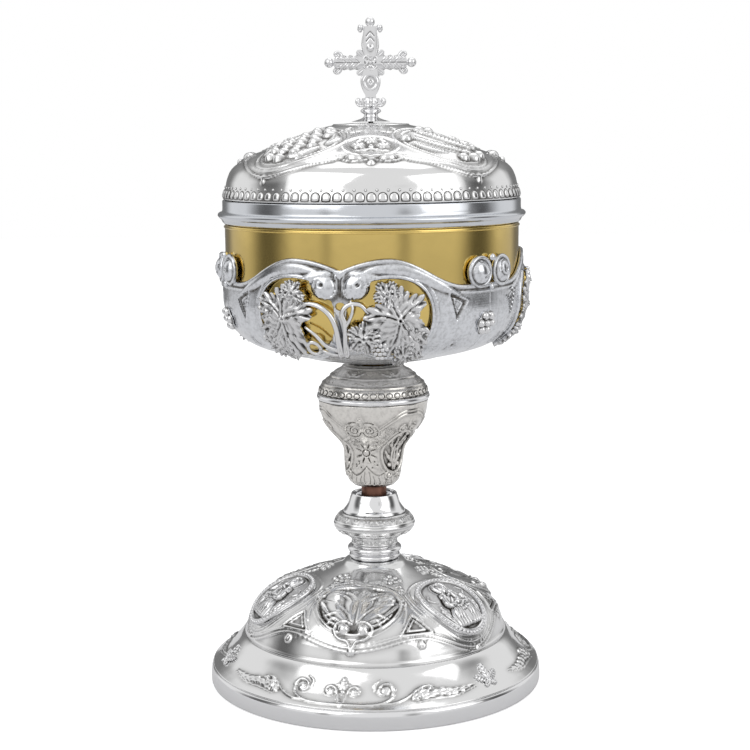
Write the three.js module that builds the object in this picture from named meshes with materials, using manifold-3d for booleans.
// A covered ciborium: gilt cup in a pierced calyx, domed lid with a cross, knop, stem and stepped foot.
// Millimetres, +Z up. The origin is the middle of the foot's resting face, and -Y is the front.

import * as THREE from 'three';
import { mergeVertices } from 'three/addons/utils/BufferGeometryUtils.js';
import Module from 'manifold-3d';

const wasm = await Module();
wasm.setup();

// Fits
const SEAT = 0.3; // between pieces that rest on each other
const RUN = 0.25; // radial clearance of a rod or stud in its hole
const LID_RUN = 0.3; // radial clearance of the lid's bezel in the cup
const NEST = 0.35; // between the cup and the calyx round it

// Facets of the turned pieces
const WIDE_SIDES = 36;
const CALYX_SIDES = 48;
const STEM_SIDES = 24;
const FINIAL_SIDES = 16;
const ROD_SIDES = 12;

// The ornament repeats three times round the object
const REPEATS = 3;
const PANEL_ANGLE = -10.5; // middle of the front vine panel, degrees from the front towards +X
const BETWEEN_ANGLE = 60; // from a panel's middle to the place between two panels

// Foot
const FOOT_R = 69.6;
const EDGE_HEIGHT = 7.7;
const EDGE_WALL = 1.9;
const EDGE_ROUND = 0.8; // by how much the edge ring draws in at its top
const FOOT_SHEET = 0.8;
const SLOPE_HEIGHT = 12.2;
const SLOPE_TOP_R = 56;
const DOME_STEP = 1; // the dome stands this far inside the top of the slope
const DOME_HEIGHT = 30.1;
const FOOT_SEAT_R = 11.6; // flat on top of the foot, which the stem stands on

// Stem, from the foot up
const BASE_RING_HEIGHT = 5.9;
const BASE_RING_R = 11.4;
const BASE_RING_ROUND = 1.2;
const NECK_HEIGHT = 3.2;
const NECK_R = 9.6;
const NECK_FLARE = 0.8;
const DISC_HEIGHT = 9.8;
const DISC_R = 17;
const BELL_HEIGHT = 7.9;
const BELL_FOOT_R = 13.1;
const BELL_WAIST_R = 10.5;
const BELL_MOUTH_R = 9.4;
const BELL_WALL = 1;
const BELL_FLOOR = 2;
const SLEEVE_HEIGHT = 9.1;
const SLEEVE_WALL = 2;

// Knop
const KNOP_BODY_HEIGHT = 35.9;
const KNOP_FOOT_R = 7.6;
const KNOP_RING_R = 23.5;
const KNOP_RING_HEIGHT = 2.5;
const KNOP_RING_OVERHANG = 0.5; // how far the ring stands out past the body and the cap
const KNOP_CAP_HEIGHT = 12.2;
const KNOP_CAP_TOP_R = 10.8;
const KNOP_SHEET = 1;

// Rod, nut and washer
const ROD_R = 3;
const WASHER_HEIGHT = 1.5;
const WASHER_MARGIN = 1.2; // between the washer and the inside of the foot's neck
const NUT_HEIGHT = 5;
const NUT_R = 6; // across the corners
const ROD_BELOW_NUT = 6.5;
const BOSS_WALL = 1.6;
const BOSS_LENGTH = 7;
const ROD_SHORT_OF_CUP = 0.4;

// Cup and calyx
const CUP_R = 60;
const CUP_WALL = 0.8;
const CUP_ABOVE_CALYX_FLOOR = 57.7; // from the underside of the calyx to the top of the cup
const LIP_WIRE = 0.7;
const LIP_WIRE_BELOW = 0.7; // from the cup's rim down to the wire
const CALYX_SHEET = 0.65;
const CALYX_FLOOR_R = 12;
const CALYX_BEND_HEIGHT = 31.8; // height over which the calyx curves up into its wall
const CALYX_PEAK = 47.2; // heights of its top edge above its underside
const CALYX_DIP = 42.7;
const CALYX_LOW = 36.4;
const PEAK_ANGLE = 17.5; // from a panel's middle, degrees
const LOW_ANGLE = 47;
const VOLUTE_R = 6.3;
const VOLUTE_ANGLE = 6.4; // from the place between two panels
const VOLUTE_RISE = 40.6; // middle of a volute above the calyx's underside
const VOLUTE_THICK = 2;

// Vine openings and the ornament applied to the calyx
const OPENING_ANGLE = 18.2;
const OPENING_WIDTH = 31;
const OPENING_HEIGHT = 29;
const OPENING_RISE = 23.3;
const VINE_THICK = 1.5;
const VINE_SIZE = 13; // from the middle of the leaf to the tip of a lobe
const STALK_WIDTH = 2.2;
const STALK_REACH = 0.86; // where the stalk ends, as a share of the way to the opening's corner
const BLOSSOM_R = 4.9;
const BLOSSOM_RISE = 20.9;
const BLOSSOM_THICK = 1.8;

// Ornament applied to the foot
const MEDALLION_WIDTH = 30;
const MEDALLION_HEIGHT = 32;
const MEDALLION_R = SLOPE_TOP_R * 0.75; // radius at which its middle stands on the dome
const MEDALLION_THICK = 1.6;
const SPRIG_ANGLE = 55.5;
const SPRIG_LENGTH = 11;
const SPRIG_WIDTH = 9;
const SPRIG_THICK = 1.5;

// Work raised in the foot's sheet: frames, scrolls and leaves
const RELIEF_BITE = 0.4; // how deep a raised form reaches into its sheet
const FRAME_STEPS = 12;
const RELIEF_TOP = 0.6; // the top of a raised form, as a share of its foot
const RELIEF_LOW = 0.55;
const RELIEF_MID = 0.8;
const RELIEF_HIGH = 1.1;
const CARTOUCHE_R = SLOPE_TOP_R * 0.69;
const CARTOUCHE_WIDTH = 35;
const CARTOUCHE_HEIGHT = 28;
const CARTOUCHE_LEAN = 40; // of its outer leaves, degrees
const CARTOUCHE_LEAF = 0.5; // length of a leaf, as a share of the cartouche's height
const FRAME_WIDTH = 1.5;
const FRAME_GAP = 1.3; // between a medallion and the raised frame round it
const TRIANGLE_R = SLOPE_TOP_R * 0.855;
const TRIANGLE_WIDTH = 13.6;
const TRIANGLE_HEIGHT = 9;
const SCROLL_REACH = 17.6; // from the middle of the slope's pattern to its volutes, round the foot
const SCROLL_VOLUTE_R = 3.4;
const SCROLL_LEAF_TURN = 8; // the long leaves rise this many degrees to their ends

// Lid
const BAND_OUT = 0.9; // the band stands this far outside the cup
const FLANGE_OUT = 1.9; // and the flange this far outside the band
const BAND_HEIGHT = 9.4;
const FLANGE_RISE = 3.6;
const LIP_OUT = 0.2;
const BEZEL_WALL = 0.8;
const BEZEL_DEPTH = 5.7;
const BEZEL_SHORT = 0.6; // the bezel stops this far below the top of the band
const LID_SHEET = 0.8;
const LID_WALL_HEIGHT = 12;
const LID_WALL_DRAW = 2.3; // by how much the wall draws in
const LID_SHOULDER_ROUND = 1.2; // by how much the shoulder turns in above the wall
const LID_CROWN_HEIGHT = 18.3;
const LID_TOP_R = 11;

// Work raised in the lid's sheet: four long ovals and four shields
const LID_REPEATS = 4;
const LID_OVAL_R = CUP_R * 0.66;
const LID_OVAL_WIDTH = 26;
const LID_OVAL_LENGTH = 36.8;
const LID_SHIELD_R = CUP_R * 0.65;
const LID_SHIELD_WIDTH = 18.8;
const LID_SHIELD_HEIGHT = 17.6;
const LID_BERRY_R = 2.4;
const LID_EAR_LENGTH = 13;
const LID_EAR_WIDTH = 4.6;
const LID_BLOSSOM_R = 2.6;
const LID_VOLUTE_WIDTH = 7;
const LID_VOLUTE_HEIGHT = 4.8;

// Finial and cross
const MOUNT_HEIGHT = 5.7;
const MOUNT_FOOT_R = 8;
const MOUNT_NECK_R = 3.45;
const MOUNT_COLLAR_R = 4.9;
const MOUNT_COLLAR_ROUND = 0.6;
const LEAF_CUP_HEIGHT = 3.3;
const LEAF_CUP_R = 4.2;
const LEAF_COUNT = 6;
const LEAF_CURL_R = 1.3;
const LEAF_REACH = 7;
const LEAF_WIDTH = 2.6;
const STUD_R = 1.1;
const STUD_IN_CROSS = 5;
const STUD_BELOW_NUT = 1.5;
const CROSS_WASHER_R = 4;
const CROSS_WASHER_HEIGHT = 1;
const CROSS_NUT_R = 3.2;
const CROSS_NUT_HEIGHT = 2.6;
const CROSS_THICK = 3.8;
const CROSS_FOOT = 14; // from the cross's middle down to its foot
const CROSS_TOP = 16.25; // from its middle up to the middle of the top ball
const CROSS_ARM = 16.65; // from its middle out to the middle of a side ball
const CROSS_BALL_R = 1.95;
const CROSS_WIDTH = 5.6;
const CROCKET_R = 1.25;
const ROSETTE_R = 3.25;
const RAY_REACH = 8.6;

// Heights, stacked from the floor up
const Z_SLOPE = EDGE_HEIGHT + SEAT;
const Z_DOME = Z_SLOPE + SLOPE_HEIGHT;
const Z_DOME_STEP = Z_DOME + DOME_STEP * 0.6;
const Z_FOOT_TOP = Z_DOME_STEP + DOME_HEIGHT;
const Z_BASE_RING = Z_FOOT_TOP + SEAT;
const Z_NECK = Z_BASE_RING + BASE_RING_HEIGHT + SEAT;
const Z_DISC = Z_NECK + NECK_HEIGHT + SEAT;
const Z_BELL = Z_DISC + DISC_HEIGHT + SEAT;
const Z_SLEEVE = Z_BELL + BELL_FLOOR + SEAT;
const Z_KNOP = Z_SLEEVE + SLEEVE_HEIGHT + SEAT;
const Z_KNOP_RING = Z_KNOP + KNOP_BODY_HEIGHT + SEAT;
const Z_KNOP_CAP = Z_KNOP_RING + KNOP_RING_HEIGHT + SEAT;
const Z_CALYX = Z_KNOP_CAP + KNOP_CAP_HEIGHT + SEAT;
const Z_CUP_FLOOR = Z_CALYX + CALYX_SHEET + NEST;
const Z_CUP_TOP = Z_CALYX + CUP_ABOVE_CALYX_FLOOR;
const Z_LID = Z_CUP_TOP + SEAT;
const Z_LID_DOME = Z_LID + BAND_HEIGHT + SEAT;
const Z_LID_TOP = Z_LID_DOME + LID_WALL_HEIGHT + LID_CROWN_HEIGHT;
const Z_MOUNT = Z_LID_TOP + SEAT;
const Z_LEAF_CUP = Z_MOUNT + MOUNT_HEIGHT + SEAT;
const Z_CROSS = Z_LEAF_CUP + LEAF_CUP_HEIGHT + SEAT + CROSS_FOOT;

// Radii that follow from the others
const ROD_HOLE_R = ROD_R + RUN;
const BOSS_R = ROD_HOLE_R + BOSS_WALL;
const BOSS_HOLE_R = BOSS_R + RUN;
const CALYX_R = CUP_R + NEST + CALYX_SHEET;
const BAND_R = CUP_R + BAND_OUT;
const BEZEL_R = CUP_R - CUP_WALL - LID_RUN;
const KNOP_R = KNOP_RING_R - KNOP_RING_OVERHANG;
const STUD_HOLE_R = STUD_R + RUN;

const point = (r, z) => new THREE.Vector2(r, z);
const degrees = THREE.MathUtils.degToRad;

// Materials
const SILVER = { color: 0xdcdcdc, roughness: 0.25, metalness: 1 };
const GILT = { color: 0xd8b868, roughness: 0.22, metalness: 1 };
const COPPER = { color: 0x9a5a40, roughness: 0.4, metalness: 1 };
const BRASS = { color: 0xb59a5b, roughness: 0.4, metalness: 1 };
const STEEL = { color: 0x9a9a9a, roughness: 0.4, metalness: 1 };

const ciborium = new THREE.Group();
ciborium.name = 'ciborium';

function place(name, geometry, material) {
  const mesh = new THREE.Mesh(geometry, new THREE.MeshStandardMaterial(material));
  mesh.name = name;
  ciborium.add(mesh);
  return mesh;
}

// Outlines are lists of points (radius, height) in the half plane through the axis

// A smooth line from one point to another, through stops given as shares of the way in radius and height
function between(from, to, stops, steps) {
  const all = [[0, 0], ...stops, [1, 1]].map(
    ([u, v]) => point(from.x + (to.x - from.x) * u, from.y + (to.y - from.y) * v)
  );
  return new THREE.SplineCurve(all).getPoints(steps);
}

// The outline moved sideways by a distance, to the left of its direction of travel.
// An end that slopes or stands keeps its height, so that a sheet's edge there is cut level.
const LEVEL_END = 0.2;

function shifted(outline, distance) {
  const last = outline.length - 1;
  return outline.map((here, i) => {
    const coming = here.clone().sub(outline[Math.max(i - 1, 0)]);
    const going = outline[Math.min(i + 1, last)].clone().sub(here);
    if (i === 0) coming.copy(going);
    if (i === last) going.copy(coming);
    coming.normalize();
    going.normalize();
    const left = point(-coming.y - going.y, coming.x + going.x).normalize();
    const atEnd = i === 0 || i === last;
    if (atEnd && Math.abs(left.x) > LEVEL_END) return point(here.x + distance / left.x, here.y);
    const square = left.dot(point(-coming.y, coming.x));
    return here.clone().addScaledVector(left, distance / Math.max(square, 0.6));
  });
}

// A sheet whose outer face follows the outline, as a closed outline.
// Its inner face keeps only one point in so many of the outer face's.
function sheetOutline(outline, thickness, oneIn) {
  const last = outline.length - 1;
  const inner = shifted(outline, thickness).filter((_, i) => i < 2 || i > last - 2 || i % oneIn === 0);
  return [...outline, ...inner.reverse()];
}

// Turns an outline about the axis. The first facet corner stands at the start angle from the front
function turned(outline, sides, startAngle = 0) {
  const solidToAxis = outline[0].x === 0 && outline[outline.length - 1].x === 0;
  const closed = solidToAxis ? outline : [...outline, outline[0].clone()];
  const geometry = new THREE.LatheGeometry(closed, sides, degrees(startAngle));
  geometry.rotateX(Math.PI / 2);
  return geometry;
}

// A plain ring with a square section
function ring(innerR, outerR, low, height, sides) {
  const high = low + height;
  const section = [point(innerR, low), point(outerR, low), point(outerR, high), point(innerR, high)];
  return turned(section, sides);
}

function toSolid(geometry) {
  const bare = geometry.index ? geometry.toNonIndexed() : geometry.clone();
  bare.deleteAttribute('normal');
  bare.deleteAttribute('uv');
  const merged = mergeVertices(bare, 1e-5);
  const corners = merged.index.array;
  const kept = [];
  for (let i = 0; i < corners.length; i += 3) {
    const [a, b, c] = corners.slice(i, i + 3);
    if (a !== b && b !== c && c !== a) kept.push(a, b, c);
  }
  const mesh = new wasm.Mesh({
    numProp: 3,
    vertProperties: new Float32Array(merged.attributes.position.array),
    triVerts: new Uint32Array(kept)
  });
  return new wasm.Manifold(mesh);
}

function toGeometry(solid) {
  const mesh = solid.getMesh();
  const geometry = new THREE.BufferGeometry();
  geometry.setAttribute('position', new THREE.BufferAttribute(mesh.vertProperties, 3));
  geometry.setIndex(new THREE.BufferAttribute(mesh.triVerts, 1));
  return geometry;
}

// A skin that lies over an outline, from one distance outside it to another
function skinOver(outline, near, far, sides, startAngle = 0) {
  const section = [...shifted(outline, -far), ...shifted(outline, -near).reverse()];
  return toSolid(turned(section, sides, startAngle));
}

// A flat shape, drawn with x to the right and y up, pushed through the skin of a turned piece.
// It faces away from the axis at the angle, and leans back by the tilt.
function prismThrough(shape, angle, radius, height, tilt, depth) {
  const geometry = new THREE.ExtrudeGeometry(shape, { depth, bevelEnabled: false });
  geometry.translate(0, 0, -depth / 2);
  geometry.rotateX(Math.PI / 2 - degrees(tilt));
  geometry.translate(0, -radius, height);
  geometry.rotateZ(degrees(angle));
  return toSolid(geometry);
}

function ellipse(width, height, steps) {
  const path = new THREE.EllipseCurve(0, 0, width / 2, height / 2, 0, Math.PI * 2);
  return new THREE.Shape(path.getPoints(steps).slice(0, steps));
}

// A closed line round a middle, whose radius at each step comes from a function of the angle
function roundShape(radiusAt, steps) {
  const points = [];
  for (let i = 0; i < steps; i++) {
    const angle = (i / steps) * Math.PI * 2;
    points.push(point(Math.cos(angle), Math.sin(angle)).multiplyScalar(radiusAt(angle, i)));
  }
  return new THREE.Shape(points);
}

// The point of an outline at a distance along it from its point at a radius, and the way out from it
function walk(outline, radius, along) {
  const lengths = [0];
  outline.slice(1).forEach((here, i) => lengths.push(lengths[i] + here.distanceTo(outline[i])));
  const from = outline.findIndex((here, i) => i > 0 && here.x <= radius);
  const [a, b] = [outline[from - 1], outline[from]];
  const start = lengths[from - 1] + ((a.x - radius) / (a.x - b.x)) * a.distanceTo(b);
  const at = THREE.MathUtils.clamp(start + along, 0, lengths.at(-1));
  const to = Math.max(1, lengths.findIndex((length) => length >= at));
  const way = outline[to].clone().sub(outline[to - 1]).normalize();
  const here = outline[to - 1].clone().addScaledVector(way, at - lengths[to - 1]);
  return { here, out: point(way.y, -way.x) };
}

// A point on a turned sheet: x round it and y along its outline from a place, and off its face
function onSheet(outline, { angle, radius }, x, y, off) {
  const { here, out } = walk(outline, radius, y);
  const turn = degrees(angle) + x / here.x;
  const r = here.x + out.x * off;
  return [r * Math.sin(turn), -r * Math.cos(turn), here.y + out.y * off];
}

// A closed body from rings of points that run the same way round; a closed row of rings needs no caps
function loftRings(rings, closed) {
  const count = rings[0].length;
  const faces = [];
  const pairs = closed ? rings.length : rings.length - 1;
  for (let i = 0; i < pairs; i++) {
    const next = (i + 1) % rings.length;
    for (let k = 0; k < count; k++) {
      const [a, b] = [i * count + k, i * count + ((k + 1) % count)];
      const [c, d] = [next * count + k, next * count + ((k + 1) % count)];
      faces.push(a, b, c, b, d, c);
    }
  }
  if (!closed) {
    const top = pairs * count;
    for (let k = 1; k < count - 1; k++) faces.push(0, k + 1, k, top, top + k, top + k + 1);
  }
  const geometry = new THREE.BufferGeometry();
  geometry.setAttribute('position', new THREE.Float32BufferAttribute(rings.flat(2), 3));
  geometry.setIndex(faces);
  return toSolid(geometry);
}

// A raised form with a smaller top, drawn as an oval on the sheet
function raisedOval(outline, place, { x = 0, y = 0, width, height, turn = 0, rise, steps = 6 }) {
  const ring = (share, off) => Array.from({ length: steps }, (_, i) => {
    const angle = (i / steps) * Math.PI * 2;
    const spot = point(Math.cos(angle) * width * share, Math.sin(angle) * height * share).divideScalar(2);
    spot.rotateAround(point(0, 0), degrees(turn));
    return onSheet(outline, place, x + spot.x, y + spot.y, off);
  });
  return loftRings([ring(1, -RELIEF_BITE), ring(RELIEF_TOP, rise)], false);
}

// A raised line with a sharp back, along the closed line that a function of the angle gives
function raisedLine(outline, place, lineAt, rise) {
  const rings = Array.from({ length: FRAME_STEPS }, (_, i) => {
    const angle = (i / FRAME_STEPS) * Math.PI * 2;
    return [[1, -RELIEF_BITE], [-1, -RELIEF_BITE], [0, rise]].map(([side, off]) => {
      const { x, y } = lineAt(angle, (side * FRAME_WIDTH) / 2);
      return onSheet(outline, place, x, y, off);
    });
  });
  return loftRings(rings, true);
}

const ovalLine = (width, height) => (angle, out) =>
  point(Math.cos(angle) * (width / 2 + out), Math.sin(angle) * (height / 2 + out));

// The angles of the pieces that repeat round the axis
function around(angle) {
  return Array.from({ length: REPEATS }, (_, i) => angle + (i * 360) / REPEATS);
}

// Foot

const slopeOutline = between(
  point(FOOT_R - EDGE_ROUND, Z_SLOPE),
  point(SLOPE_TOP_R, Z_DOME),
  [[0.38, 0.26], [0.78, 0.69]],
  4
);

const domeOutline = between(
  point(SLOPE_TOP_R - DOME_STEP, Z_DOME_STEP),
  point(FOOT_SEAT_R, Z_FOOT_TOP),
  [[0.05, 0.22], [0.14, 0.41], [0.32, 0.6], [0.6, 0.745], [0.85, 0.86], [0.975, 0.95]],
  9
);

function makeFoot() {
  const edge = [
    point(FOOT_R - EDGE_WALL, 0),
    point(FOOT_R - EDGE_ROUND / 4, 0),
    point(FOOT_R, EDGE_ROUND),
    point(FOOT_R, EDGE_HEIGHT - EDGE_ROUND),
    point(FOOT_R - EDGE_ROUND, EDGE_HEIGHT),
    point(FOOT_R - EDGE_ROUND - EDGE_WALL, EDGE_HEIGHT)
  ];
  place('foot_edge_ring', turned(edge, WIDE_SIDES), SILVER);

  const outside = [...slopeOutline, ...domeOutline, point(ROD_HOLE_R, Z_FOOT_TOP)];
  const shell = toSolid(turned(sheetOutline(outside, FOOT_SHEET, 3), WIDE_SIDES));
  const chased = wasm.Manifold.union([shell, ...domeRelief(), ...slopeRelief()]);
  place('foot_shell', toGeometry(chased), SILVER);
}

// Cartouches with a fan of leaves over two volutes, frames round the medallions, and triangles between
function domeRelief() {
  const forms = [];
  const surround = MEDALLION_WIDTH + (FRAME_GAP + FRAME_WIDTH / 2) * 2;
  for (const middle of around(PANEL_ANGLE)) {
    const spot = { angle: middle, radius: CARTOUCHE_R };
    const add = (form) => forms.push(raisedOval(domeOutline, spot, form));
    forms.push(raisedLine(domeOutline, spot, ovalLine(CARTOUCHE_WIDTH, CARTOUCHE_HEIGHT), RELIEF_MID));
    for (const turn of [-CARTOUCHE_LEAN, 0, CARTOUCHE_LEAN]) {
      const { x, y } = point(0, CARTOUCHE_HEIGHT * 0.38).rotateAround(point(0, 0), degrees(turn));
      add({
        x, y: y - CARTOUCHE_HEIGHT * 0.3, width: FRAME_WIDTH * 3,
        height: CARTOUCHE_HEIGHT * CARTOUCHE_LEAF, turn, rise: RELIEF_LOW, steps: 4
      });
    }
    for (const side of [-1, 1]) {
      const volute = CARTOUCHE_WIDTH * 0.17;
      add({
        x: side * volute * 0.7, y: -CARTOUCHE_HEIGHT * 0.45, width: volute, height: volute, rise: RELIEF_HIGH
      });
      const corner = { angle: middle + (side * BETWEEN_ANGLE) / 2, radius: TRIANGLE_R };
      forms.push(raisedOval(domeOutline, corner, {
        width: TRIANGLE_WIDTH, height: TRIANGLE_HEIGHT, turn: 90, rise: RELIEF_LOW, steps: 3
      }));
    }
    forms.push(raisedLine(domeOutline, { angle: middle + BETWEEN_ANGLE, radius: MEDALLION_R },
      ovalLine(surround, surround + MEDALLION_HEIGHT - MEDALLION_WIDTH), RELIEF_LOW));
  }
  return forms;
}

// A fleuron, two C scrolls with volutes, and a long leaf to each end
function slopeRelief() {
  const radius = (FOOT_R - EDGE_ROUND + SLOPE_TOP_R) / 2;
  const forms = [];
  for (const middle of around(PANEL_ANGLE)) {
    const add = (form) => forms.push(raisedOval(slopeOutline, { angle: middle, radius }, form));
    add({ width: SCROLL_VOLUTE_R * 1.2, height: SCROLL_VOLUTE_R * 3.4, rise: RELIEF_MID, steps: 4 });
    for (const side of [-1, 1]) {
      const x = side * SCROLL_REACH;
      add({ x, width: SCROLL_VOLUTE_R * 2, height: SCROLL_VOLUTE_R * 2, rise: RELIEF_HIGH });
      add({
        x: x * 0.55, y: -SCROLL_VOLUTE_R * 1.2, width: SCROLL_REACH * 0.9, height: FRAME_WIDTH * 1.4,
        rise: RELIEF_MID, steps: 4
      });
      add({
        x: x * 1.85, width: SCROLL_REACH * 1.3, height: SCROLL_VOLUTE_R * 1.6, turn: side * SCROLL_LEAF_TURN,
        rise: RELIEF_MID
      });
    }
  }
  return forms;
}

// A point of an outline at a radius, and how far the outline leans back from upright there, in degrees
function standAt(outline, radius) {
  for (let i = 1; i < outline.length; i++) {
    const [a, b] = [outline[i - 1], outline[i]];
    if ((a.x - radius) * (b.x - radius) <= 0 && a.x !== b.x) {
      const share = (radius - a.x) / (b.x - a.x);
      const lean = THREE.MathUtils.radToDeg(Math.atan2(a.x - b.x, b.y - a.y));
      return { height: a.y + (b.y - a.y) * share, lean };
    }
  }
  throw new Error(`no part of the outline is at radius ${radius}`);
}

function makeMedallions() {
  const { height, lean } = standAt(domeOutline, MEDALLION_R);
  const skin = skinOver(domeOutline, SEAT, SEAT + MEDALLION_THICK, WIDE_SIDES);
  const oval = ellipse(MEDALLION_WIDTH, MEDALLION_HEIGHT, 20);
  around(PANEL_ANGLE + BETWEEN_ANGLE).forEach((angle, i) => {
    const prism = prismThrough(oval, angle, MEDALLION_R, height, lean, MEDALLION_HEIGHT);
    place(`medallion_${i + 1}`, toGeometry(skin.intersect(prism)), SILVER);
  });
}

function makeFootSprigs() {
  const radius = (FOOT_R - EDGE_ROUND + SLOPE_TOP_R) / 2;
  const { height, lean } = standAt(slopeOutline, radius);
  const skin = skinOver(slopeOutline, SEAT, SEAT + SPRIG_THICK, WIDE_SIDES);
  const lobed = (angle) => 0.75 + 0.25 * Math.cos(4 * angle);
  const leaf = roundShape((angle) => {
    const across = Math.cos(angle) / (SPRIG_WIDTH / 2);
    const along = Math.sin(angle) / (SPRIG_LENGTH / 2);
    return lobed(angle) / Math.hypot(across, along);
  }, 16);
  around(PANEL_ANGLE + SPRIG_ANGLE).forEach((angle, i) => {
    const prism = prismThrough(leaf, angle, radius, height, lean, SPRIG_LENGTH);
    place(`foot_sprig_${i + 1}`, toGeometry(skin.intersect(prism)), SILVER);
  });
}

// Stem

function makeStem() {
  const baseRing = [
    point(ROD_HOLE_R, Z_BASE_RING),
    point(BASE_RING_R - 0.4, Z_BASE_RING),
    point(BASE_RING_R, Z_BASE_RING + BASE_RING_HEIGHT * 0.4),
    point(BASE_RING_R, Z_BASE_RING + BASE_RING_HEIGHT * 0.8),
    point(BASE_RING_R - BASE_RING_ROUND, Z_BASE_RING + BASE_RING_HEIGHT),
    point(ROD_HOLE_R, Z_BASE_RING + BASE_RING_HEIGHT)
  ];
  place('stem_base_ring', turned(baseRing, STEM_SIDES), SILVER);

  const neck = [
    point(ROD_HOLE_R, Z_NECK),
    point(NECK_R, Z_NECK),
    point(NECK_R, Z_NECK + NECK_HEIGHT * 0.5),
    point(NECK_R + NECK_FLARE, Z_NECK + NECK_HEIGHT),
    point(ROD_HOLE_R, Z_NECK + NECK_HEIGHT)
  ];
  place('stem_neck_band', turned(neck, STEM_SIDES), SILVER);

  const discMiddle = Z_DISC + DISC_HEIGHT * 0.53;
  const under = between(point(NECK_R + NECK_FLARE + SEAT, Z_DISC), point(DISC_R, discMiddle),
    [[0.57, 0.33], [0.9, 0.69]], 4);
  const over = between(point(DISC_R, discMiddle), point(BELL_FOOT_R + 0.4, Z_DISC + DISC_HEIGHT),
    [[0.06, 0.28], [0.46, 0.69]], 4);
  const discTop = point(ROD_HOLE_R, Z_DISC + DISC_HEIGHT);
  const disc = [point(ROD_HOLE_R, Z_DISC), ...under, ...over.slice(1), discTop];
  place('stem_disc', turned(disc, STEM_SIDES), SILVER);

  const bellTop = Z_BELL + BELL_HEIGHT;
  const bellWall = [
    ...between(point(BELL_FOOT_R, Z_BELL), point(BELL_WAIST_R, Z_BELL + BELL_HEIGHT * 0.48),
      [[0.15, 0.26], [0.7, 0.62]], 3),
    point(BELL_MOUTH_R, bellTop)
  ];
  const mouthR = BELL_MOUTH_R - BELL_WALL;
  const bell = [
    point(ROD_HOLE_R, Z_BELL),
    ...bellWall,
    point(mouthR, bellTop),
    point(mouthR, Z_BELL + BELL_FLOOR),
    point(ROD_HOLE_R, Z_BELL + BELL_FLOOR)
  ];
  place('stem_bell', turned(bell, STEM_SIDES), SILVER);

  const sleeve = ring(ROD_HOLE_R, ROD_HOLE_R + SLEEVE_WALL, Z_SLEEVE, SLEEVE_HEIGHT, STEM_SIDES);
  place('copper_sleeve', sleeve, COPPER);
}

// Knop

function makeKnop() {
  const bodyWall = between(
    point(KNOP_FOOT_R, Z_KNOP),
    point(KNOP_R, Z_KNOP + KNOP_BODY_HEIGHT),
    [[0.13, 0.036], [0.24, 0.15], [0.32, 0.42], [0.545, 0.571], [0.844, 0.76], [0.955, 0.92]],
    9
  );
  const body = sheetOutline([point(ROD_HOLE_R, Z_KNOP), ...bodyWall], KNOP_SHEET, 2);
  place('knop_body', turned(body, STEM_SIDES), SILVER);

  const edge = KNOP_RING_OVERHANG;
  const ringTop = Z_KNOP_RING + KNOP_RING_HEIGHT;
  const innerR = KNOP_R - KNOP_SHEET;
  const ringSection = [
    point(innerR, Z_KNOP_RING),
    point(KNOP_RING_R - edge, Z_KNOP_RING),
    point(KNOP_RING_R, Z_KNOP_RING + KNOP_RING_HEIGHT * 0.3),
    point(KNOP_RING_R, Z_KNOP_RING + KNOP_RING_HEIGHT * 0.7),
    point(KNOP_RING_R - edge, ringTop),
    point(innerR, ringTop)
  ];
  place('knop_ring', turned(ringSection, STEM_SIDES), SILVER);

  const capTop = Z_KNOP_CAP + KNOP_CAP_HEIGHT;
  const capWall = between(
    point(KNOP_R - edge, Z_KNOP_CAP),
    point(KNOP_CAP_TOP_R, capTop),
    [[0.06, 0.24], [0.26, 0.45], [0.51, 0.67]],
    6
  );
  const cap = sheetOutline([...capWall, point(BOSS_HOLE_R, capTop)], KNOP_SHEET, 2);
  place('knop_cap', turned(cap, STEM_SIDES), SILVER);
}

// Cup, calyx and what is applied to it

const calyxOutline = [
  point(BOSS_HOLE_R, Z_CALYX),
  ...between(
    point(CALYX_FLOOR_R, Z_CALYX),
    point(CALYX_R, Z_CALYX + CALYX_BEND_HEIGHT),
    [[0.3, 0.093], [0.633, 0.211], [0.845, 0.365], [0.95, 0.57]],
    7
  )
];

// The height of the calyx's top edge above its underside, at an angle from the middle of a panel
function edgeHeight(fromPanel) {
  const span = 360 / REPEATS;
  const away = Math.abs(THREE.MathUtils.euclideanModulo(fromPanel + span / 2, span) - span / 2);
  if (away < PEAK_ANGLE) {
    return CALYX_PEAK - (CALYX_PEAK - CALYX_DIP) * (1 - away / PEAK_ANGLE) ** 2;
  }
  const share = Math.min((away - PEAK_ANGLE) / (LOW_ANGLE - PEAK_ANGLE), 1);
  return CALYX_LOW + ((CALYX_PEAK - CALYX_LOW) * (1 + Math.cos(Math.PI * share))) / 2;
}

function calyxWall() {
  const outline = [...calyxOutline, point(CALYX_R, Z_CALYX + CALYX_PEAK)];
  const geometry = turned(sheetOutline(outline, CALYX_SHEET, 1), CALYX_SIDES, PANEL_ANGLE);
  const position = geometry.attributes.position;
  const bendTop = Z_CALYX + CALYX_BEND_HEIGHT;
  for (let i = 0; i < position.count; i++) {
    if (position.getZ(i) > bendTop + SEAT) {
      const angle = THREE.MathUtils.radToDeg(Math.atan2(position.getX(i), -position.getY(i)));
      position.setZ(i, Z_CALYX + edgeHeight(angle - PANEL_ANGLE));
    }
  }
  return toSolid(geometry);
}

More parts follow.
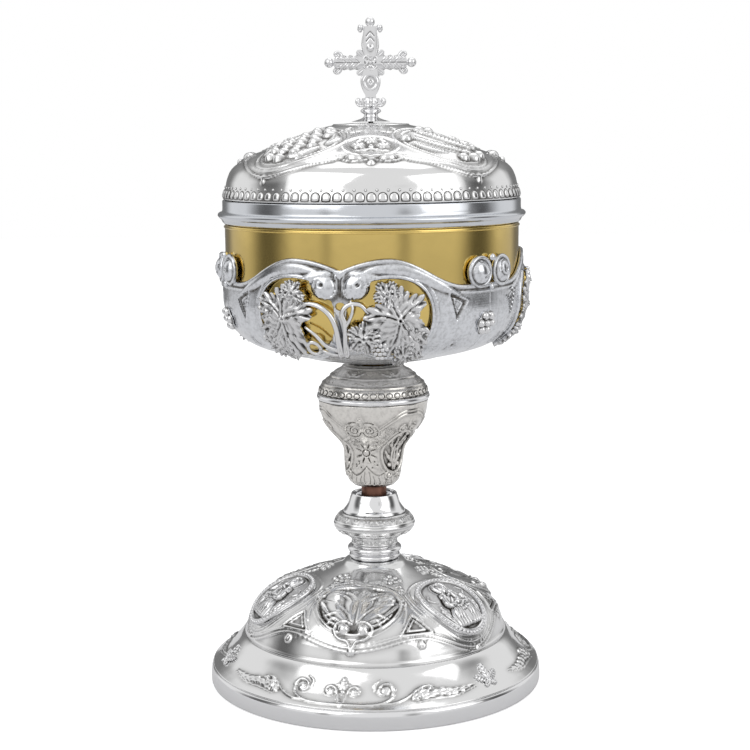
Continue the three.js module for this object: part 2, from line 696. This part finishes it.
function makeCalyx() {
  const volute = ellipse(2 * VOLUTE_R, 2 * VOLUTE_R, 12);
  const reach = VOLUTE_RISE + 2 * VOLUTE_R;
  const voluteSkin = toSolid(ring(CUP_R + NEST, CALYX_R + VOLUTE_THICK - CALYX_SHEET,
    Z_CALYX + CALYX_BEND_HEIGHT, reach, CALYX_SIDES));
  let calyx = calyxWall();
  for (const middle of around(PANEL_ANGLE + BETWEEN_ANGLE)) {
    for (const side of [-1, 1]) {
      const prism = prismThrough(volute, middle + side * VOLUTE_ANGLE, CALYX_R, Z_CALYX + VOLUTE_RISE, 0,
        4 * VOLUTE_THICK);
      calyx = calyx.add(voluteSkin.intersect(prism));
    }
  }
  const opening = ellipse(OPENING_WIDTH, OPENING_HEIGHT, 18);
  for (const middle of around(PANEL_ANGLE)) {
    for (const side of [-1, 1]) {
      const angle = middle + side * OPENING_ANGLE;
      calyx = calyx.subtract(prismThrough(opening, angle, CALYX_R, Z_CALYX + OPENING_RISE, 0, CALYX_R));
    }
  }
  place('calyx', toGeometry(calyx), SILVER);
}

// A vine leaf with five lobes, and the stalk that carries it from the foot of the panel's middle
const LEAF_LOBES = 5;
const LEAF_EDGE = [1, 0.85, 0.62, 0.85]; // tip, shoulder, notch and shoulder, as shares of the leaf's size

function vineSpray(side, angle) {
  const height = Z_CALYX + OPENING_RISE;
  const steps = LEAF_LOBES * LEAF_EDGE.length;
  const leaf = roundShape((_, i) => VINE_SIZE * LEAF_EDGE[i % LEAF_EDGE.length], steps);
  const blade = prismThrough(leaf, angle, CALYX_R, height, 0, CALYX_R);
  const foot = point(-side * (OPENING_WIDTH / 2), -OPENING_HEIGHT / 2).multiplyScalar(STALK_REACH);
  const across = point(-foot.y, foot.x).setLength(STALK_WIDTH / 2);
  const stalk = new THREE.Shape([
    across.clone(),
    across.clone().negate(),
    foot.clone().sub(across),
    foot.clone().add(across)
  ]);
  return blade.add(prismThrough(stalk, angle, CALYX_R, height, 0, CALYX_R));
}

function makeVineSprays() {
  const skin = skinOver([...calyxOutline, point(CALYX_R, Z_CALYX + CALYX_PEAK)], SEAT, SEAT + VINE_THICK,
    CALYX_SIDES, PANEL_ANGLE);
  let number = 0;
  for (const middle of around(PANEL_ANGLE)) {
    for (const side of [-1, 1]) {
      number += 1;
      const spray = vineSpray(side, middle + side * OPENING_ANGLE);
      place(`vine_spray_${number}`, toGeometry(skin.intersect(spray)), SILVER);
    }
  }
}

function makeBlossoms() {
  const skin = skinOver([...calyxOutline, point(CALYX_R, Z_CALYX + CALYX_PEAK)], SEAT, SEAT + BLOSSOM_THICK,
    CALYX_SIDES, PANEL_ANGLE);
  const petals = roundShape((angle) => BLOSSOM_R * (0.85 + 0.15 * Math.cos(6 * angle)), 12);
  around(PANEL_ANGLE + BETWEEN_ANGLE).forEach((angle, i) => {
    const prism = prismThrough(petals, angle, CALYX_R, Z_CALYX + BLOSSOM_RISE, 0, CALYX_R / 2);
    place(`blossom_${i + 1}`, toGeometry(skin.intersect(prism)), SILVER);
  });
}

function makeCup() {
  const nested = shifted(calyxOutline.slice(1), CALYX_SHEET + NEST);
  const outside = [...nested, point(CUP_R, Z_CUP_TOP)];
  const inside = shifted(outside, CUP_WALL);
  const cup = [
    point(0, Z_CUP_FLOOR),
    ...outside,
    ...inside.filter((_, i) => i < 2 || i > inside.length - 3 || i % 2 === 0).reverse(),
    point(0, Z_CUP_FLOOR + CUP_WALL)
  ];
  place('cup', turned(cup, WIDE_SIDES), GILT);

  const wireTop = Z_CUP_TOP - LIP_WIRE_BELOW;
  const wire = ring(CUP_R + SEAT / 2, CUP_R + SEAT / 2 + LIP_WIRE, wireTop - LIP_WIRE, LIP_WIRE, WIDE_SIDES);
  place('cup_lip_wire', wire, SILVER);
}

// Rod, boss, washer and nut

function hexagonNut(cornerR, holeR, low, height) {
  const shape = roundShape(() => cornerR, 6);
  shape.holes.push(new THREE.Path(ellipse(2 * holeR, 2 * holeR, ROD_SIDES).getPoints().reverse()));
  const geometry = new THREE.ExtrudeGeometry(shape, { depth: height, bevelEnabled: false });
  geometry.translate(0, 0, low);
  return geometry;
}

function makeRod() {
  const bossTop = Z_CUP_FLOOR - SEAT;
  place('cup_boss', ring(ROD_HOLE_R, BOSS_R, bossTop - BOSS_LENGTH, BOSS_LENGTH, STEM_SIDES), BRASS);

  const washerTop = Z_FOOT_TOP - FOOT_SHEET - SEAT;
  const washerR = FOOT_SEAT_R - FOOT_SHEET - WASHER_MARGIN;
  const washer = ring(ROD_HOLE_R, washerR, washerTop - WASHER_HEIGHT, WASHER_HEIGHT, STEM_SIDES);
  place('foot_washer', washer, BRASS);

  const nutLow = washerTop - WASHER_HEIGHT - SEAT - NUT_HEIGHT;
  place('foot_nut', hexagonNut(NUT_R, ROD_HOLE_R, nutLow, NUT_HEIGHT), BRASS);

  const rodLow = nutLow - ROD_BELOW_NUT;
  const rodHigh = Z_CUP_FLOOR - ROD_SHORT_OF_CUP;
  const rod = [point(0, rodLow), point(ROD_R, rodLow), point(ROD_R, rodHigh), point(0, rodHigh)];
  place('tie_rod', turned(rod, ROD_SIDES), STEEL);
}

// Lid

function makeLid() {
  const bandTop = Z_LID + BAND_HEIGHT;
  const innerR = BEZEL_R + SEAT;
  const flangeZ = Z_LID + FLANGE_RISE;
  const band = [
    point(innerR, Z_LID),
    point(CUP_R + LIP_OUT, Z_LID),
    point(BAND_R + FLANGE_OUT * 0.2, Z_LID + FLANGE_RISE * 0.4),
    point(BAND_R + FLANGE_OUT, flangeZ),
    point(BAND_R + FLANGE_OUT * 0.8, flangeZ + FLANGE_RISE * 0.25),
    point(BAND_R, flangeZ + FLANGE_RISE * 0.4),
    point(BAND_R, bandTop),
    point(innerR, bandTop)
  ];
  place('lid_rim_moulding', turned(band, WIDE_SIDES), SILVER);

  const bezelLow = Z_LID - BEZEL_DEPTH;
  const bezelHeight = BEZEL_DEPTH + BAND_HEIGHT - BEZEL_SHORT;
  place('lid_bezel', ring(BEZEL_R - BEZEL_WALL, BEZEL_R, bezelLow, bezelHeight, WIDE_SIDES), GILT);

  const wallTopR = BAND_R - BAND_OUT / 2 - LID_WALL_DRAW;
  const shoulderR = wallTopR - LID_SHOULDER_ROUND;
  const shoulderZ = Z_LID_DOME + LID_WALL_HEIGHT;
  const wall = between(point(BAND_R - BAND_OUT / 2, Z_LID_DOME), point(shoulderR, shoulderZ),
    [[0.35, 0.3], [0.5, 0.65]], 3);
  const crown = between(
    point(shoulderR, shoulderZ),
    point(LID_TOP_R, Z_LID_TOP),
    [[0.05, 0.12], [0.11, 0.2], [0.23, 0.33], [0.44, 0.53], [0.72, 0.82], [0.86, 0.955]],
    8
  );
  const outside = [...wall, ...crown.slice(1), point(STUD_HOLE_R, Z_LID_TOP)];
  const sheet = toSolid(turned(sheetOutline(outside, LID_SHEET, 3), WIDE_SIDES));
  place('lid_dome', toGeometry(wasm.Manifold.union([sheet, ...lidRelief(crown)])), SILVER);
}

// A berry or a blossom, placed by its own radius
function roundBump(x, y, radius, rise) {
  return { x: x * radius, y: y * radius, width: radius * 2, height: radius * 2, rise, steps: 5 };
}

// Long ovals with grapes or ears of wheat by turns, and shields with three blossoms over two volutes.
// Places are shares of the radius of a berry or blossom, and of the width of an ear or leaf.
function lidRelief(crown) {
  const forms = [];
  const blossoms = [[0, 1.4], [-1.5, -0.2], [1.5, -0.2]];
  const grapes = [[0.5, 2.8], [2.5, 1.4], [-0.8, 0.6], [1.1, -0.8], [-1.2, -2.5]];
  const fruit = [[2, -4.3], [-0.5, -5.2], [-0.5, 5.4]];
  const ears = [[-1, 0.5, -30], [1, 0.8, -46]];
  const leaves = [[-1.2, 2.1, -40], [1.4, -1.8, -28]];
  for (let i = 0; i < LID_REPEATS; i++) {
    const shield = { angle: (i * 360) / LID_REPEATS, radius: LID_SHIELD_R };
    const onShield = (form) => forms.push(raisedOval(crown, shield, form));
    forms.push(raisedLine(crown, shield, ovalLine(LID_SHIELD_WIDTH, LID_SHIELD_HEIGHT), RELIEF_LOW));
    for (const [x, y] of blossoms) onShield(roundBump(x, y, LID_BLOSSOM_R, RELIEF_HIGH * 1.3));
    for (const side of [-1, 1]) {
      onShield({
        x: side * LID_VOLUTE_WIDTH * 0.8, y: -LID_SHIELD_HEIGHT * 0.62, width: LID_VOLUTE_WIDTH,
        height: LID_VOLUTE_HEIGHT, rise: RELIEF_HIGH * 1.6
      });
    }
    const oval = { angle: ((i + 0.5) * 360) / LID_REPEATS, radius: LID_OVAL_R };
    const inOval = (form) => forms.push(raisedOval(crown, oval, form));
    forms.push(raisedLine(crown, oval, ovalLine(LID_OVAL_WIDTH, LID_OVAL_LENGTH), RELIEF_MID));
    for (const [x, y] of i % 2 ? grapes : fruit) inOval(roundBump(x, y, LID_BERRY_R, RELIEF_HIGH * 1.8));
    for (const [x, y, turn] of i % 2 ? leaves : ears) {
      inOval({
        x: x * LID_EAR_WIDTH, y: y * LID_EAR_WIDTH, width: LID_EAR_WIDTH, height: LID_EAR_LENGTH, turn,
        rise: RELIEF_HIGH * 1.4
      });
    }
  }
  return forms;
}

// Finial

function makeFinial() {
  const top = Z_MOUNT + MOUNT_HEIGHT;
  const mount = [
    point(STUD_HOLE_R, Z_MOUNT),
    point(MOUNT_FOOT_R, Z_MOUNT),
    point(MOUNT_COLLAR_R, Z_MOUNT + MOUNT_HEIGHT * 0.14),
    point(MOUNT_NECK_R, Z_MOUNT + MOUNT_HEIGHT * 0.3),
    point(MOUNT_NECK_R, Z_MOUNT + MOUNT_HEIGHT * 0.58),
    point(MOUNT_COLLAR_R, Z_MOUNT + MOUNT_HEIGHT * 0.76),
    point(MOUNT_COLLAR_R, Z_MOUNT + MOUNT_HEIGHT * 0.9),
    point(MOUNT_COLLAR_R - MOUNT_COLLAR_ROUND, top),
    point(STUD_HOLE_R, top)
  ];
  place('finial_mount', turned(mount, FINIAL_SIDES), SILVER);

  const cupTop = Z_LEAF_CUP + LEAF_CUP_HEIGHT;
  const core = [
    point(STUD_HOLE_R, Z_LEAF_CUP),
    point(LEAF_CUP_R * 0.8, Z_LEAF_CUP),
    point(LEAF_CUP_R, Z_LEAF_CUP + LEAF_CUP_HEIGHT * 0.4),
    point(LEAF_CUP_R * 0.9, cupTop),
    point(STUD_HOLE_R, cupTop)
  ];
  const curlMiddle = Z_LEAF_CUP + LEAF_CURL_R * 1.6;
  const arm = LEAF_REACH - LEAF_CURL_R;
  let leaves = toSolid(turned(core, FINIAL_SIDES));
  for (let i = 0; i < LEAF_COUNT; i++) {
    const curl = new THREE.CylinderGeometry(LEAF_CURL_R, LEAF_CURL_R, LEAF_WIDTH, 8);
    curl.rotateX(Math.PI / 2);
    curl.translate(arm, 0, curlMiddle);
    const blade = new THREE.BoxGeometry(arm - LEAF_CUP_R * 0.7, LEAF_WIDTH * 0.8, LEAF_CURL_R * 0.8);
    blade.translate((arm + LEAF_CUP_R * 0.7) / 2, 0, curlMiddle - LEAF_CURL_R * 0.5);
    const turn = (i / LEAF_COUNT) * Math.PI * 2;
    curl.rotateZ(turn);
    blade.rotateZ(turn);
    leaves = leaves.add(toSolid(curl)).add(toSolid(blade));
  }
  place('finial_leaf_cup', toGeometry(leaves), SILVER);
}

// A bar of the cross, mirrored about its middle line. Its edge is given as (distance along, half width)
function crossBar(edge, upright, thickness) {
  const side = new THREE.SplineCurve(edge.map(([along, half]) => point(along, half))).getPoints(8);
  const mirrored = side.map((p) => point(p.x, -p.y)).reverse();
  const shape = new THREE.Shape([...side, ...mirrored].reverse());
  const geometry = new THREE.ExtrudeGeometry(shape, { depth: thickness, bevelEnabled: false });
  geometry.translate(0, 0, -thickness / 2);
  if (upright) geometry.rotateZ(Math.PI / 2);
  geometry.rotateX(Math.PI / 2);
  return toSolid(geometry);
}

function ball(radius, x, z) {
  const geometry = new THREE.SphereGeometry(radius, 8, 6);
  geometry.rotateX(Math.PI / 2);
  geometry.translate(x, 0, z);
  return toSolid(geometry);
}

function crocket(x, z) {
  const geometry = new THREE.CylinderGeometry(CROCKET_R, CROCKET_R, CROSS_THICK * 0.7, 8);
  geometry.translate(x, 0, z);
  return toSolid(geometry);
}

function makeCross() {
  const half = CROSS_WIDTH / 2;
  const upperEnd = CROSS_TOP - CROSS_BALL_R * 0.7;
  const armEnd = CROSS_ARM - CROSS_BALL_R * 0.7;
  const upright = [
    [-CROSS_FOOT, half * 0.95],
    [-CROSS_FOOT * 0.6, half * 1.45],
    [-CROSS_FOOT * 0.3, half],
    [0, half * 0.9],
    [upperEnd * 0.42, half],
    [upperEnd * 0.7, half * 1.3],
    [upperEnd, half * 1.08]
  ];
  const arm = [
    [-armEnd, half * 0.6],
    [-armEnd * 0.62, half * 1.2],
    [-armEnd * 0.25, half * 0.85],
    [armEnd * 0.25, half * 0.85],
    [armEnd * 0.62, half * 1.2],
    [armEnd, half * 0.6]
  ];
  const ray = [[-RAY_REACH, 0.15], [-RAY_REACH * 0.6, 1.3], [RAY_REACH * 0.6, 1.3], [RAY_REACH, 0.15]];
  const rosette = new THREE.SphereGeometry(ROSETTE_R, 10, 6);
  rosette.scale(1, 0.8, 1);
  let cross = crossBar(upright, true, CROSS_THICK).add(crossBar(arm, false, CROSS_THICK * 0.85));
  for (const turn of [45, -45]) {
    cross = cross.add(crossBar(ray, false, CROSS_THICK * 0.6).rotate([0, turn, 0]));
  }
  cross = cross.add(toSolid(rosette));
  cross = cross.add(ball(CROSS_BALL_R, CROSS_ARM, 0)).add(ball(CROSS_BALL_R, -CROSS_ARM, 0));
  cross = cross.add(ball(CROSS_BALL_R, 0, CROSS_TOP));
  const crocketAlong = armEnd * 0.94;
  const crocketOut = half * 1.35;
  for (const side of [-1, 1]) {
    cross = cross.add(crocket(side * crocketOut * 1.06, upperEnd * 0.95));
    for (const level of [-1, 1]) {
      cross = cross.add(crocket(side * crocketAlong, level * crocketOut * 0.8));
    }
  }
  const boreTop = STUD_IN_CROSS + RUN - CROSS_FOOT;
  const bore = turned([
    point(0, -CROSS_FOOT - 1),
    point(STUD_HOLE_R, -CROSS_FOOT - 1),
    point(STUD_HOLE_R, boreTop),
    point(0, boreTop)
  ], ROD_SIDES);
  const geometry = toGeometry(cross.subtract(toSolid(bore)));
  place('cross', geometry, SILVER).position.z = Z_CROSS;

  const washerTop = Z_LID_TOP - LID_SHEET - SEAT;
  const washerLow = washerTop - CROSS_WASHER_HEIGHT;
  const nutLow = washerLow - SEAT - CROSS_NUT_HEIGHT;
  const studLow = nutLow - STUD_BELOW_NUT;
  const studHigh = Z_CROSS - CROSS_FOOT + STUD_IN_CROSS;
  const stud = [point(0, studLow), point(STUD_R, studLow), point(STUD_R, studHigh), point(0, studHigh)];
  place('cross_washer', ring(STUD_HOLE_R, CROSS_WASHER_R, washerLow, CROSS_WASHER_HEIGHT, ROD_SIDES), BRASS);
  place('cross_nut', hexagonNut(CROSS_NUT_R, STUD_HOLE_R, nutLow, CROSS_NUT_HEIGHT), BRASS);
  place('cross_stud', turned(stud, ROD_SIDES), STEEL);
}

makeFoot();
makeMedallions();
makeFootSprigs();
makeStem();
makeKnop();
makeCalyx();
makeVineSprays();
makeBlossoms();
makeCup();
makeRod();
makeLid();
makeFinial();
makeCross();

export default ciborium;
